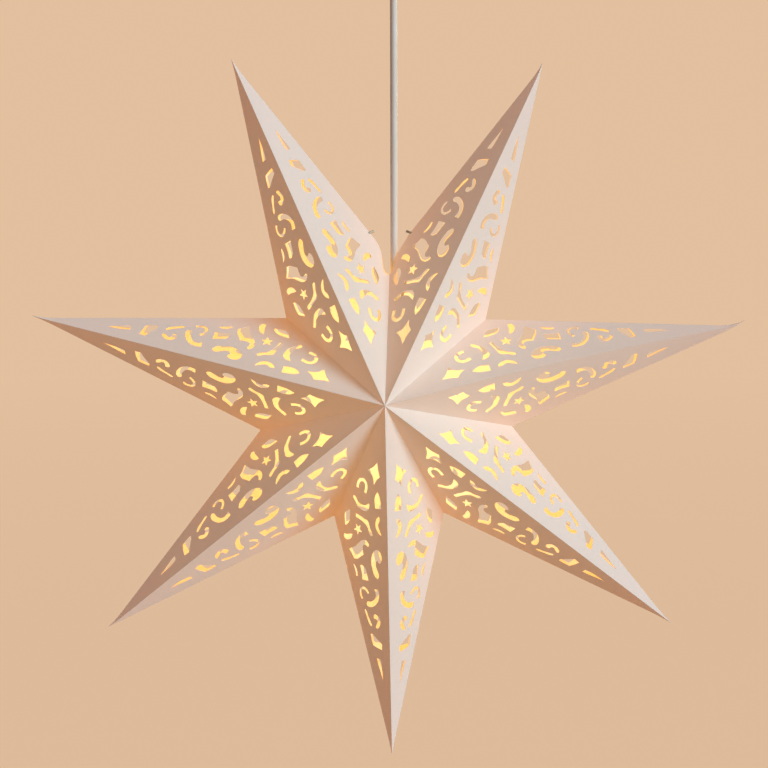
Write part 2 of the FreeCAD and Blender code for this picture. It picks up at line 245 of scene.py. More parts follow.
@dataclass(frozen=True)
class CardFinish:
    """Matt white card with short fibres, thin enough to let some of the bulb's light through.

    The outside has a faint warm painted glow for the bulb's light, deeper towards the inner corners.
    The inside has a painted glow for the light that the card passes on from panel to panel: pale
    near the bulb and a deeper yellow towards the tips.
    """

    name: str = "white_card"
    colour: Colour = (0.95, 0.935, 0.92)
    roughness: float = 0.92
    see_through: float = 0.18
    through_colour: Colour = (0.88, 0.59, 0.27)
    # Painted glow on the outside: an even warm emission, deeper towards the inner corners, standing in for
    # the bulb's light through the card.
    painted_skin_glow: Colour = (0.075, 0.05, 0.035)
    painted_corner_glow: Colour = (0.2, 0.065, 0.008)
    fold_start: float = 0.4
    fold_end: float = 1.0
    roughness_play: float = 0.05
    shine: float = 0.25
    fibre_scale: float = 1100.0
    fibre_shape: Triple = (1.0, 1.0, 0.45)
    fibre_height: float = 0.00012
    fibre_strength: float = 0.35
    fibre_tone: float = 0.965
    cloud_scale: float = 16.0
    cloud_tone: float = 0.975
    # Painted glow on the inside: an emission whose colour changes with distance from the bulb, standing in
    # for the bulb's light passed from panel to panel.
    glow_start: float = 55.0
    glow_end: float = 290.0
    painted_glow_near: Colour = (1.0, 0.66, 0.2)
    painted_glow_middle: Colour = (1.0, 0.54, 0.08)
    painted_glow_far: Colour = (1.0, 0.43, 0.05)
    middle_place: float = 0.35
    glow_strength: float = 0.42

    def side(self, canvas: Canvas, glow: Socket, strength: float) -> Material:
        """Finishes one side of the card.

        Args:
            canvas: The material under way.
            glow: The colour of the side's painted glow, standing in for the bulb's light on the card.
            strength: How strongly it glows.

        Returns:
            The material.
        """
        fibres = canvas.noise(self.fibre_scale, 3.0, self.fibre_shape)
        clouds = canvas.noise(self.cloud_scale, 2.0)
        fibre_tone = canvas.remap(fibres, self.fibre_tone, 1.0)
        cloud_tone = canvas.remap(clouds, self.cloud_tone, 1.0)
        tone = canvas.add("Math", fibre_tone, cloud_tone, operation="MULTIPLY").outputs["Value"]
        smooth, rough = self.roughness - self.roughness_play, self.roughness + self.roughness_play
        reflecting = canvas.add(
            "BsdfPrincipled",
            Base_Color=canvas.shade(self.colour, tone),
            Roughness=canvas.remap(fibres, smooth, rough),
            Normal=canvas.bump(fibres, self.fibre_strength, self.fibre_height),
            Specular_IOR_Level=self.shine,
            # The emission is a painted glow that stands in for the bulb's light on the card.
            Emission_Color=glow,
            Emission_Strength=strength,
        )
        through = canvas.add("BsdfTranslucent", Color=self.through_colour)
        shader = canvas.mix(self.see_through, reflecting.outputs["BSDF"], through.outputs["BSDF"])
        material = canvas.finish(shader)
        material.cycles.emission_sampling = "NONE"
        return material

    def outside(self) -> Material:
        """Returns the material of the card's outer faces and cut edges, with their painted glow."""
        canvas = Canvas(self.name)
        # The painted glow deepens with the share towards the inner corner.
        fold = canvas.add("Attribute")
        fold.attribute_name = FOLD_SHARE
        share = canvas.remap(fold.outputs["Fac"], 0.0, 1.0, self.fold_start, self.fold_end)
        return self.side(canvas, canvas.ramp(share, ((0.0, self.painted_skin_glow), (1.0, self.painted_corner_glow))), 1.0)

    def inside(self, centre: Vector) -> Material:
        """Returns the material of the card's inner faces, with a painted glow for the bulb's light.

        Args:
            centre: The star's centre in metres, where the bulb is.
        """
        canvas = Canvas(self.name + "_painted_glow_inside")
        # The painted glow changes colour with the distance from the bulb.
        start, end = self.glow_start * MM, self.glow_end * MM
        reach = canvas.remap(canvas.distance(centre), 0.0, 1.0, start, end)
        stops = ((0.0, self.painted_glow_near), (self.middle_place, self.painted_glow_middle), (1.0, self.painted_glow_far))
        return self.side(canvas, canvas.ramp(reach, stops), self.glow_strength)


@dataclass(frozen=True)
class PlasticFinish:
    """Moulded plastic with a faint orange-peel texture and uneven gloss."""

    name: str
    colour: Colour
    roughness: float = 0.38
    roughness_play: float = 0.06
    grain: float = 900.0
    relief: float = 0.00004
    relief_strength: float = 0.3
    patch_scale: float = 30.0
    ageing: Colour = (0.97, 0.95, 0.9)

    def material(self) -> Material:
        """Returns the material."""
        canvas = Canvas(self.name)
        grain = canvas.noise(self.grain, 2.0)
        patches = canvas.noise(self.patch_scale, 2.0)
        aged = tuple(one * other for one, other in zip(self.colour, self.ageing))
        colour = canvas.ramp(canvas.remap(patches, 0.0, 1.0), ((0.0, self.colour), (1.0, aged)))
        smooth, rough = self.roughness - self.roughness_play, self.roughness + self.roughness_play
        shader = canvas.add(
            "BsdfPrincipled",
            Base_Color=colour,
            Roughness=canvas.remap(patches, smooth, rough),
            Normal=canvas.bump(grain, self.relief_strength, self.relief),
        )
        return canvas.finish(shader.outputs["BSDF"])


@dataclass(frozen=True)
class SteelFinish:
    """Bare or plated steel with fine drawn scratches and a dull film."""

    name: str
    colour: Colour
    roughness: float = 0.42
    polish: float = 0.1
    dulling: float = 0.14
    metallic: float = 1.0
    scratch_scale: float = 700.0
    scratch_shape: Triple = (1.0, 1.0, 0.05)
    scratch_depth: float = 0.00003
    scratch_strength: float = 0.3
    film_scale: float = 120.0
    film_tone: float = 0.62

    def material(self) -> Material:
        """Returns the material."""
        canvas = Canvas(self.name)
        scratches = canvas.noise(self.scratch_scale, 3.0, self.scratch_shape)
        film = canvas.noise(self.film_scale, 3.0)
        dull = tuple(self.film_tone * part for part in self.colour)
        colour = canvas.ramp(canvas.remap(film, 0.0, 1.0), ((0.0, self.colour), (1.0, dull)))
        shader = canvas.add(
            "BsdfPrincipled",
            Base_Color=colour,
            Metallic=self.metallic,
            Roughness=canvas.remap(film, self.roughness - self.polish, self.roughness + self.dulling),
            Normal=canvas.bump(scratches, self.scratch_strength, self.scratch_depth),
        )
        return canvas.finish(shader.outputs["BSDF"])


@dataclass(frozen=True)
class OpalFinish:
    """Opal glass that glows almost evenly, with faint patches in its milky tone and glow."""

    name: str = "bulb_glass"
    colour: Colour = (0.9, 0.88, 0.84)
    glow: Colour = (1.0, 0.64, 0.26)
    strength: float = 6.5
    dimmest: float = 0.96
    roughness: float = 0.22
    milk_scale: float = 60.0
    milk_tone: float = 0.97

    def material(self) -> Material:
        """Returns the material."""
        canvas = Canvas(self.name)
        milk = canvas.noise(self.milk_scale, 2.0)
        colour = canvas.shade(self.colour, canvas.remap(milk, self.milk_tone, 1.0))
        shader = canvas.add(
            "BsdfPrincipled",
            Base_Color=colour,
            Roughness=self.roughness,
            Emission_Color=self.glow,
            Emission_Strength=canvas.remap(milk, self.dimmest * self.strength, self.strength),
        )
        return canvas.finish(shader.outputs["BSDF"])


# Shared mesh work


def in_scene(name: str, data: bpy.types.ID) -> Piece:
    """Puts a new object in the scene.

    Args:
        name: The object's name.
        data: Its mesh, curve, lamp or camera.

    Returns:
        The object.
    """
    made = bpy.data.objects.new(name, data)
    bpy.context.scene.collection.objects.link(made)
    return made


def pour(whole: Mesh, part: Mesh) -> None:
    """Adds a part to a bmesh and frees the part.

    Args:
        whole: The bmesh that grows.
        part: The bmesh that is added.
    """
    scratch = bpy.data.meshes.new("part")
    part.to_mesh(scratch)
    part.free()
    whole.from_mesh(scratch)
    bpy.data.meshes.remove(scratch)


def mesh_piece(name: str, mesh: Mesh, materials: list[Material], sharp: float = 32.0) -> Piece:
    """Makes an object at the origin from a finished bmesh.

    Args:
        name: The piece's name.
        mesh: The bmesh, in metres, which is freed.
        materials: The materials of its slots.
        sharp: Edges that turn more than this many degrees stay sharp.

    Returns:
        The object.
    """
    data = bpy.data.meshes.new(name)
    mesh.to_mesh(data)
    mesh.free()
    for material in materials:
        data.materials.append(material)
    data.shade_smooth()
    data.set_sharp_from_angle(angle=math.radians(sharp))
    return in_scene(name, data)


def settle(piece: Piece, slot: str, *nodes: str) -> Piece:
    """Rides a piece on the lamp's body and hides the nodes it stands for.

    Args:
        piece: The finished piece.
        slot: The record's material slot, which is not used.
        nodes: The CAD nodes that the piece replaces.

    Returns:
        The piece.
    """
    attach(piece, ROOT)
    if nodes:
        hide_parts(*nodes)
    log.info("%s: %d faces", piece.name, len(getattr(piece.data, "polygons", ())))
    return piece


def turned_mesh(profile: list[Point], top: float, steps: int = 72) -> Mesh:
    """Spins a closed profile about the cord's line.

    Args:
        profile: Radius and height points in millimetres, in order round the section. Points
            at radius 0 lie on the axis.
        top: The height in metres that the profile's height 0 stands for.
        steps: How many steps make the full turn.

    Returns:
        The bmesh, in metres, closed and facing outwards.
    """
    mesh = bmesh.new()
    points = [mesh.verts.new((radius * MM, 0.0, top + height * MM)) for radius, height in profile]
    on_axis = profile[0][0] == 0.0 and profile[-1][0] == 0.0
    edges = [mesh.edges.new(pair) for pair in zip(points, points[1:])]
    if not on_axis:
        edges.append(mesh.edges.new((points[-1], points[0])))
    bmesh.ops.spin(
        mesh, geom=points + edges, cent=(0.0, 0.0, 0.0), axis=(0.0, 0.0, 1.0), dvec=(0.0, 0.0, 0.0),
        angle=FULL_TURN, steps=steps, use_merge=True, use_duplicate=False,
    )
    bmesh.ops.remove_doubles(mesh, verts=mesh.verts, dist=TURNED_WELD)
    bmesh.ops.recalc_face_normals(mesh, faces=mesh.faces)
    return mesh


def arc(centre: Point, radius: float, start: float, end: float, steps: int) -> list[Point]:
    """Returns points along an arc.

    Args:
        centre: The arc's centre.
        radius: Its radius.
        start: The first point's angle in degrees.
        end: The last point's angle in degrees.
        steps: How many spans the arc has.
    """
    found = []
    for step in range(steps + 1):
        angle = math.radians(start + (end - start) * step / steps)
        found.append((centre[0] + radius * math.cos(angle), centre[1] + radius * math.sin(angle)))
    return found


# The star


@dataclass(frozen=True)
class StarPlan:
    """The star's outline: seven arms of a {7/3} star, as the hand-opened card came to rest.

    Each tip and inner corner has a small turn in degrees and a change of reach of its own.
    Arm 0 is the top left one, corner 0 is the top one, and both are counted leftwards.
    """

    arm_count: int = 7
    tip_reach: float = 307.7
    corner_reach: float = 109.8
    half_depth: float = 75.0
    drop: float = 392.0
    side: float = 5.7
    tip_set: tuple[Point, ...] = (
        (-1.1, 4.2), (-0.1, -2.6), (1.0, 1.9), (0.6, -0.3), (0.0, -2.0), (-1.2, -5.0), (0.7, 0.9),
    )
    corner_set: tuple[Point, ...] = (
        (-1.2, 9.1), (0.2, -0.2), (1.4, 2.1), (1.4, 1.2), (0.2, -0.5), (0.0, -1.1), (0.2, -2.9),
    )

    def centre(self) -> Vector:
        """Returns the star's centre in metres."""
        return Vector((-self.side, 0.0, -self.drop)) * MM

    def point(self, reach: float, heading: float) -> Vector:
        """Returns a point of the outline, in millimetres from the star's centre."""
        angle = math.radians(heading)
        return Vector((reach * math.cos(angle), 0.0, reach * math.sin(angle)))

    def heading(self, count: float) -> float:
        """Returns the even heading of a place counted leftwards from the top, in degrees."""
        return TOP + CIRCLE / self.arm_count * count

    def tip(self, arm: int) -> Vector:
        """Returns the tip of an arm."""
        turn, change = self.tip_set[arm]
        return self.point(self.tip_reach + change, self.heading(arm + 0.5) + turn)

    def corner(self, number: int) -> Vector:
        """Returns an inner corner, counted round past the last."""
        place = number % self.arm_count
        turn, change = self.corner_set[place]
        return self.point(self.corner_reach + change, self.heading(place) + turn)

    def pole(self, half: Half) -> Vector:
        """Returns the middle of the star's front or rear."""
        return Vector((0.0, half.value * self.half_depth, 0.0))


@dataclass(frozen=True)
class KnifeCut:
    """A closed cut on the panel template, smooth except at its corner points."""

    points: tuple[Point, ...]
    corners: tuple[int, ...] = ()

    def outline(self) -> "KnifeCut":
        """Returns the cut itself."""
        return self


@dataclass(frozen=True)
class Stroke:
    """A cut of even width along a curved line, with square ends."""

    line: tuple[Point, ...]
    width: float

    def outline(self) -> KnifeCut:
        """Returns the closed cut round the line."""
        left: list[Point] = []
        right: list[Point] = []
        last = len(self.line) - 1
        for index, (u, v) in enumerate(self.line):
            before = self.line[max(index - 1, 0)]
            after = self.line[min(index + 1, last)]
            along = Vector((after[0] - before[0], after[1] - before[1])).normalized()
            half = 0.5 * self.width
            left.append((u - along.y * half, v + along.x * half))
            right.append((u + along.y * half, v - along.x * half))
        points = tuple(left + right[::-1])
        return KnifeCut(points, (0, last, last + 1, len(points) - 1))


def little_star(place: Point, reach: float, waist: float, turn: float, rays: int = 5) -> KnifeCut:
    """Returns the small star of the template.

    Args:
        place: Its centre on the template.
        reach: From the centre to a point.
        waist: From the centre to an inner corner.
        turn: The first point's heading in degrees.
        rays: How many points it has.
    """
    corners = 2 * rays
    points = []
    for step in range(corners):
        radius = waist if step % 2 else reach
        angle = math.radians(turn + CIRCLE / corners * step)
        points.append((place[0] + radius * math.cos(angle), place[1] + radius * math.sin(angle)))
    return KnifeCut(tuple(points), tuple(range(corners)))


@dataclass(frozen=True)
class PatternSet:
    """How the cutting pattern came to sit on one panel."""

    along: float
    across: float
    stretch: float
    spread: float
    slant: float

    def moved(self, cut: KnifeCut) -> KnifeCut:
        """Returns a cut of the template where it sits on the panel."""
        points = []
        for u, v in cut.points:
            run = self.stretch * u + self.slant * (v - PATTERN_MIDDLE) + self.along
            points.append((run, self.spread * v + self.across))
        return KnifeCut(tuple(points), cut.corners)


@dataclass(frozen=True)
class PanelTemplate:
    """The cutting template of one panel: the ridge along u, the inner corner up along v."""

    grid: float = 9.0
    grid_snap: float = 1e-4
    tip_grid: float = 3.0
    tip_zone: float = 28.0
    cuts: tuple[KnifeCut | Stroke, ...] = (
        KnifeCut(((55.4, 10.3), (62.0, 9.9), (68.8, 8.2), (72.4, 12.6), (77.0, 15.4), (68.2, 17.7),
                  (64.2, 22.5), (60.6, 15.6)), (0, 2, 4, 6)),
        KnifeCut(((82.0, 11.2), (86.5, 8.8), (97.0, 7.0), (97.5, 14.6), (88.0, 14.9)), (0, 2, 3)),
        KnifeCut(((104.0, 9.6), (107.8, 9.4), (112.0, 11.2), (116.5, 9.6), (121.0, 7.0), (119.8, 10.3),
                  (114.8, 14.3), (110.5, 14.6), (106.2, 12.8)), (0, 4)),
        KnifeCut(((136.6, 9.3), (140.4, 7.8), (145.0, 8.5), (146.6, 10.5), (144.9, 12.8), (146.4, 14.9),
                  (150.3, 14.8), (154.3, 12.9), (158.5, 11.4), (161.6, 13.2), (159.4, 16.9), (154.0, 19.4),
                  (148.0, 20.8), (141.4, 20.0), (136.8, 17.0), (134.8, 13.5)), (4, 9)),
        Stroke(((85.5, 26.7), (81.5, 25.3), (77.5, 25.4), (74.8, 27.8), (74.2, 30.6), (75.8, 33.7),
                (78.6, 35.5), (82.2, 36.3)), 3.0),
        KnifeCut(((94.2, 21.6), (98.8, 22.4), (102.0, 26.0), (101.7, 30.3), (100.0, 35.3), (96.3, 38.9),
                  (91.6, 42.8), (89.8, 41.0), (91.6, 38.5), (95.2, 35.7), (96.7, 32.0), (96.8, 27.5),
                  (95.5, 24.3)), (0, 6, 7)),
        KnifeCut(((122.5, 18.3), (123.4, 20.2), (120.2, 23.0), (116.3, 24.6), (113.8, 27.6), (111.5, 32.0),
                  (110.0, 37.0), (109.3, 39.5), (106.0, 39.3), (107.3, 34.0), (109.2, 28.5), (110.2, 24.2),
                  (113.2, 22.4), (116.8, 21.3), (120.2, 19.3)), (0, 7, 8)),
        KnifeCut(((130.1, 24.4), (132.6, 23.0), (133.8, 25.0), (132.8, 27.4), (133.9, 30.4), (138.0, 31.2),
                  (142.4, 30.5), (144.8, 34.2), (147.5, 38.2), (148.4, 43.0), (144.7, 45.5), (140.6, 49.2),
                  (138.9, 46.3), (137.0, 41.6), (133.0, 36.8), (129.6, 32.5), (128.6, 28.0)), (6, 9, 11)),
        KnifeCut(((154.6, 28.3), (160.0, 26.5), (165.3, 24.6), (165.8, 32.9), (159.0, 33.5), (153.2, 35.2),
                  (152.2, 33.3)), (0, 2, 3, 5)),
        KnifeCut(((171.0, 13.0), (174.8, 11.9), (179.8, 12.4), (184.0, 14.6), (187.6, 18.9), (189.4, 23.3),
                  (189.0, 27.0), (187.0, 28.2), (184.8, 26.6), (184.2, 23.0), (182.5, 19.6), (179.0, 16.4),
                  (174.6, 16.3), (171.7, 18.0)), (0, 13)),
        Stroke(((177.0, 25.2), (174.2, 28.0), (173.2, 31.5), (175.2, 34.8), (179.3, 35.6), (183.6, 33.7)),
               2.4),
        KnifeCut(((194.8, 16.5), (196.6, 13.0), (200.3, 11.2), (204.6, 12.1), (207.6, 15.2), (206.9, 17.2),
                  (204.0, 16.0), (201.0, 14.6), (199.2, 16.1), (199.0, 18.9), (196.8, 19.5), (195.2, 18.3)),
                 (5,)),
        KnifeCut(((221.2, 9.4), (226.5, 9.7), (225.7, 16.0), (224.5, 21.2), (218.9, 23.0), (214.3, 24.0),
                  (213.9, 21.3), (217.6, 15.5)), (0, 1, 3, 5, 6)),
        KnifeCut(((235.9, 12.2), (241.0, 10.8), (256.0, 9.3), (248.0, 12.3), (240.8, 15.3), (235.6, 17.0)),
                 (0, 2, 5)),
        KnifeCut(((103.5, 46.8), (110.0, 47.1), (115.2, 48.4), (118.5, 51.3), (119.3, 53.9), (114.5, 54.2),
                  (108.3, 53.5), (105.4, 49.9)), (0, 4)),
    )
    front_cuts: tuple[KnifeCut, ...] = (
        little_star((120.1, 36.9), 5.6, 2.4, 5.0),
        KnifeCut(((152.9, 44.6), (155.1, 41.6), (159.7, 39.2), (164.0, 39.1), (163.9, 40.6), (159.3, 41.8)),
                 (0, 3, 4)),
        KnifeCut(((192.3, 29.9), (194.4, 28.2), (198.7, 26.2), (202.5, 23.8), (206.0, 21.5), (207.4, 22.9),
                  (204.6, 25.9), (199.4, 28.3), (193.5, 30.7)), (0, 4, 5)),
        KnifeCut(((125.9, 44.2), (129.3, 45.6), (131.9, 49.4), (132.2, 53.0), (130.5, 55.6), (127.3, 55.3),
                  (127.4, 51.3), (126.4, 47.4)), (0, 5)),
    )

    def flat_sheet(self, outline: KnifeCut, half: Half, pattern: PatternSet) -> Mesh:
        """Cuts one panel from flat card and divides it, so that it can bow and curl.

        Args:
            outline: The panel's outline, with its tip as the second point.
            half: The front panels have a few more cuts than the rear ones.
            pattern: How the pattern sits on this panel.

        Returns:
            A flat bmesh in panel millimetres.
        """
        shapes = self.cuts + (self.front_cuts if half is Half.FRONT else ())
        tip_reach = outline.points[1][0]
        height = max(v for _, v in outline.points)
        curve = bpy.data.curves.new("panel_knife", "CURVE")
        curve.dimensions = "2D"
        curve.fill_mode = "FRONT"
        curve.resolution_u = 4
        for cut in (outline, *(pattern.moved(shape.outline()) for shape in shapes)):
            spline = curve.splines.new("BEZIER")
            spline.bezier_points.add(len(cut.points) - 1)
            spline.use_cyclic_u = True
            for index, (knot, place) in enumerate(zip(spline.bezier_points, cut.points)):
                knot.co = (*place, 0.0)
                kind = "VECTOR" if index in cut.corners else "AUTO"
                knot.handle_left_type = kind
                knot.handle_right_type = kind
        holder = in_scene("panel_knife", curve)
        bpy.context.view_layer.update()
        filled = bpy.data.meshes.new_from_object(holder)
        bpy.data.objects.remove(holder)
        sheet = bmesh.new()
        sheet.from_mesh(filled)
        bpy.data.meshes.remove(filled)
        tip_start = tip_reach - self.tip_zone
        runs = [self.grid * step for step in range(1, int(tip_start / self.grid) + 1)]
        runs += [tip_start + self.tip_grid * step for step in range(1, int(self.tip_zone / self.tip_grid))]
        rises = [self.grid * step for step in range(1, int(height / self.grid) + 1)]
        for normal, distances in ((Vector((1.0, 0.0, 0.0)), runs), (Vector((0.0, 1.0, 0.0)), rises)):
            for distance in distances:
                bmesh.ops.bisect_plane(
                    sheet, geom=sheet.verts[:] + sheet.edges[:] + sheet.faces[:], dist=self.grid_snap,
                    plane_co=normal * distance, plane_no=normal,
                )
        bmesh.ops.remove_doubles(sheet, verts=sheet.verts, dist=SHEET_WELD)
        return sheet


@dataclass
class PanelPlace:
    """Where one panel lies: its inner end, its tip and its inner corner, from the star's centre.

    A point of the panel is told by u, along the ridge, and v, square to it.
    """

    pole: Vector
    tip: Vector
    corner: Vector

    def __post_init__(self) -> None:
        """Works out the panel's own directions and sizes."""
        ridge = self.tip - self.pole
        valley = self.corner - self.pole
        self.ridge = ridge.length
        self.along = ridge.normalized()
        self.corner_u = valley.dot(self.along)
        rise = valley - self.along * self.corner_u
        self.corner_v = rise.length
        self.across = rise.normalized()
        normal = self.along.cross(self.across)
        self.outwards = normal if normal.dot(self.pole) > 0.0 else -normal

    def triangle(self) -> KnifeCut:
        """Returns the outline of the whole panel."""
        return KnifeCut(((0.0, 0.0), (self.ridge, 0.0), (self.corner_u, self.corner_v)), (0, 1, 2))

    def beside_mouth(self, leaf: tuple[Point, ...]) -> KnifeCut:
        """Returns the outline of a panel beside the mouth, where its corner is cut away.

        Args:
            leaf: The cut's points in the star's front view, from the outer fold to the valley.
        """
        cut = [self.flat_point(x, z) for x, z in leaf]
        on_fold = (self.ridge - (self.ridge - self.corner_u) * cut[0][1] / self.corner_v, cut[0][1])
        on_valley = (cut[-1][0], cut[-1][0] * self.corner_v / self.corner_u)
        points = ((0.0, 0.0), (self.ridge, 0.0), on_fold, *cut[1:-1], on_valley)
        return KnifeCut(points, (0, 1, 2, len(points) - 1))

    def shares(self, u: float, v: float) -> tuple[float, float]:
        """Returns the tip's and the corner's share at a point of the panel."""
        share = v / self.corner_v
        return (u - share * self.corner_u) / self.ridge, share

    def bowed(self, u: float, v: float, bow: float, lean: Vector) -> Vector:
        """Returns the place of a point on the panel, which bows outwards and leans with its ridge.

        Args:
            u: The distance along the ridge.
            v: The distance from the ridge.
            bow: How far the panel's middle stands out.
            lean: How far the middle of the ridge leans over.
        """
        run, share = self.shares(u, v)
        rest = max(1.0 - run - share, 0.0)
        rise = BOW_SCALE * max(run, 0.0) * max(share, 0.0) * rest
        sway = SWAY_SCALE * max(run, 0.0) * rest
        return self.pole + self.along * u + self.across * v + self.outwards * (bow * rise) + lean * sway

    def flat_point(self, x: float, z: float) -> Point:
        """Returns the point of the panel that lies at a place of the star's front view.

        Args:
            x: The place's distance to the right of the star's centre.
            z: The place's height above it.
        """
        spread = self.tip.x * self.corner.z - self.corner.x * self.tip.z
        run = (x * self.corner.z - self.corner.x * z) / spread
        share = (self.tip.x * z - x * self.tip.z) / spread
        return (run * self.ridge + share * self.corner_u, share * self.corner_v)


@dataclass
class PaperStar:
    """The seven folded arms of card.

    A row of pattern_sets holds the values of an arm's two PatternSets, in the order of their
    fields. The first is for the panel at the arm's lower-numbered corner.
    """

    plan: StarPlan = field(default_factory=StarPlan)
    template: PanelTemplate = field(default_factory=PanelTemplate)
    finish: CardFinish = field(default_factory=CardFinish)
    names: tuple[str, ...] = (
        "paper_arm_top_left", "paper_arm_left", "paper_arm_lower_left", "paper_arm_bottom",
        "paper_arm_lower_right", "paper_arm_right", "paper_arm_top_right",
    )
    paper: float = 0.35
    margin_width: float = 8.0
    margin_start: float = 10.0
    margin_end: float = 8.0
    mouth_margin_end: float = 54.2
    lap_width: float = 5.0
    lap_inset: float = 26.0
    lap_gap: float = 0.3
    lap_drop: float = 1.1
    bow_least: float = 0.2
    bow_most: float = 1.1
    pattern_sets: tuple[tuple[tuple[float, ...], tuple[float, ...]], ...] = (
        ((-2.8, 4.3, 1.008, 0.855, 0.005), (-1.1, -1.0, 1.0, 1.027, 0.038)),
        ((-3.0, 0.4, 1.009, 0.983, 0.048), (-2.2, 1.2, 1.008, 1.002, 0.034)),
        ((-1.3, 0.7, 1.01, 0.965, 0.056), (-5.6, 0.3, 1.029, 1.01, 0.049)),
        ((-2.4, -0.1, 1.0, 1.004, 0.105), (-1.3, 1.9, 1.0, 0.961, 0.02)),
        ((-3.0, -0.1, 0.996, 1.019, 0.06), (-1.5, 1.5, 0.993, 0.951, 0.024)),
        ((0.4, -0.1, 0.979, 0.93, -0.005), (-1.9, 2.1, 1.0, 1.016, 0.01)),
        ((-0.3, 1.0, 1.002, 0.986, -0.003), (-2.9, 1.6, 1.013, 0.96, -0.04)),
    )
    left_leaf: tuple[Point, ...] = (
        (-10.4, 134.9), (-7.9, 130.6), (-5.7, 125.5), (-4.6, 120.6), (-3.6, 113.2), (-1.9, 107.2),
        (0.3, 103.9),
    )
    right_leaf: tuple[Point, ...] = (
        (17.4, 136.4), (13.3, 130.4), (9.9, 124.8), (8.2, 120.2), (6.4, 113.6), (4.4, 107.4), (2.9, 104.9),
    )
    tip_curls: tuple[tuple[float, float, float], ...] = (
        (-1.6, 0.0, 3.8), (-6.5, -0.8, 2.2), (-3.1, 0.4, -1.5), (0.1, 0.4, -3.0), (3.9, -0.5, -3.0),
        (6.2, -0.6, 5.0), (0.4, 0.0, 2.9),
    )
    curl_length: float = 17.0
    ridge_leans: tuple[float, ...] = (0.0, 0.0, 0.0, 0.0, 0.0, 3.5, 0.0)

    def arm_mesh(self, arm: int, draw: random.Random) -> Mesh:
        """Folds one arm as a sheet without thickness.

        Args:
            arm: The arm's number.
            draw: The source of each panel's bow.

        Returns:
            The bmesh in millimetres from the star's centre, facing outwards.
        """
        mesh = bmesh.new()
        reach = self.plan.tip(arm).normalized()
        sideways = Vector((-reach.z, 0.0, reach.x)) * self.ridge_leans[arm]
        for half in Half:
            lean = sideways if half is Half.FRONT else Vector()
            for side, leaf in enumerate((self.left_leaf, self.right_leaf)):
                number = arm + side
                place = PanelPlace(self.plan.pole(half), self.plan.tip(arm), self.plan.corner(number))
                at_mouth = number % self.plan.arm_count == 0
                outline = place.beside_mouth(leaf) if at_mouth else place.triangle()
                pattern = PatternSet(*self.pattern_sets[arm][side])
                panel = self.template.flat_sheet(outline, half, pattern)
                bow = draw.uniform(self.bow_least, self.bow_most)
                share = panel.verts.layers.float.new(FOLD_SHARE)
                for vert in panel.verts:
                    vert[share] = place.shares(vert.co.x, vert.co.y)[1]
                    vert.co = place.bowed(vert.co.x, vert.co.y, bow, lean)
                panel.normal_update()
                turned = [face for face in panel.faces if face.normal.dot(place.outwards) < 0.0]
                bmesh.ops.reverse_faces(panel, faces=turned)
                pour(mesh, panel)
        bmesh.ops.remove_doubles(mesh, verts=mesh.verts, dist=FOLD_WELD)
        return mesh

    def turn_margins_in(self, mesh: Mesh, arm: int) -> None:
        """Folds the glue margins in along both valleys, front and rear.

        Args:
            mesh: The arm's bmesh, which gets the margins.
            arm: The arm's number.
        """
        for half in Half:
            for number in (arm, arm + 1):
                at_mouth = number % self.plan.arm_count == 0
                end = self.mouth_margin_end if at_mouth else self.margin_end
                pole, corner = self.plan.pole(half), self.plan.corner(number)
                valley = corner - pole
                length = valley.length
                valley.normalize()
                back = Vector((0.0, -half.value, 0.0))
                across = (back - valley * back.dot(valley)).normalized()

                def run_of(vert: bmesh.types.BMVert) -> float:
                    """Returns how far along the valley a vertex lies, or -1 off the valley."""
                    run = (vert.co - pole).dot(valley)
                    return run if (vert.co - pole - valley * run).length < VALLEY_REACH else -1.0

                edges = [edge for edge in mesh.edges if edge.is_boundary
                         and all(self.margin_start - self.template.grid < run_of(vert) < length - end
                                 for vert in edge.verts)]
                made = bmesh.ops.extrude_edge_only(mesh, edges=edges)["geom"]
                for vert in (item for item in made if isinstance(item, bmesh.types.BMVert)):
                    run = run_of(vert)
                    width = min(self.margin_width, run - self.margin_start, length - end - run)
                    vert.co += across * max(width, 0.0)
        bmesh.ops.remove_doubles(mesh, verts=mesh.verts, dist=FOLD_WELD)

    def curl_tip(self, mesh: Mesh, arm: int) -> None:
        """Bends the last few millimetres of an arm, which handling has curled.

        Args:
            mesh: The arm's bmesh, in millimetres from the star's centre.
            arm: The arm's number.
        """
        tip = self.plan.tip(arm)
        curl = Vector(self.tip_curls[arm])
        along = tip.normalized()
        for vert in mesh.verts:
            share = 1.0 - (tip - vert.co).dot(along) / self.curl_length
            if share > 0.0:
                vert.co += curl * share ** 3

    def thicken(self, name: str, mesh: Mesh, materials: list[Material]) -> Piece:
        """Gives the folded sheet its thickness, inwards from its outer faces.

        Args:
            name: The arm's name.
            mesh: The arm's bmesh, in metres.
            materials: The outside and the inside material.

        Returns:
            The finished arm.
        """
        thin = mesh_piece(name + "_sheet", mesh, materials)
        wall = thin.modifiers.new("card", "SOLIDIFY")
        wall.thickness = self.paper * MM
        wall.offset = -1.0
        wall.material_offset = CardFace.INSIDE.value
        wall.material_offset_rim = CardFace.OUTSIDE.value
        graph = bpy.context.evaluated_depsgraph_get()
        solid = bmesh.new()
        solid.from_mesh(thin.evaluated_get(graph).to_mesh())
        bpy.data.objects.remove(thin)
        return mesh_piece(name, solid, materials)

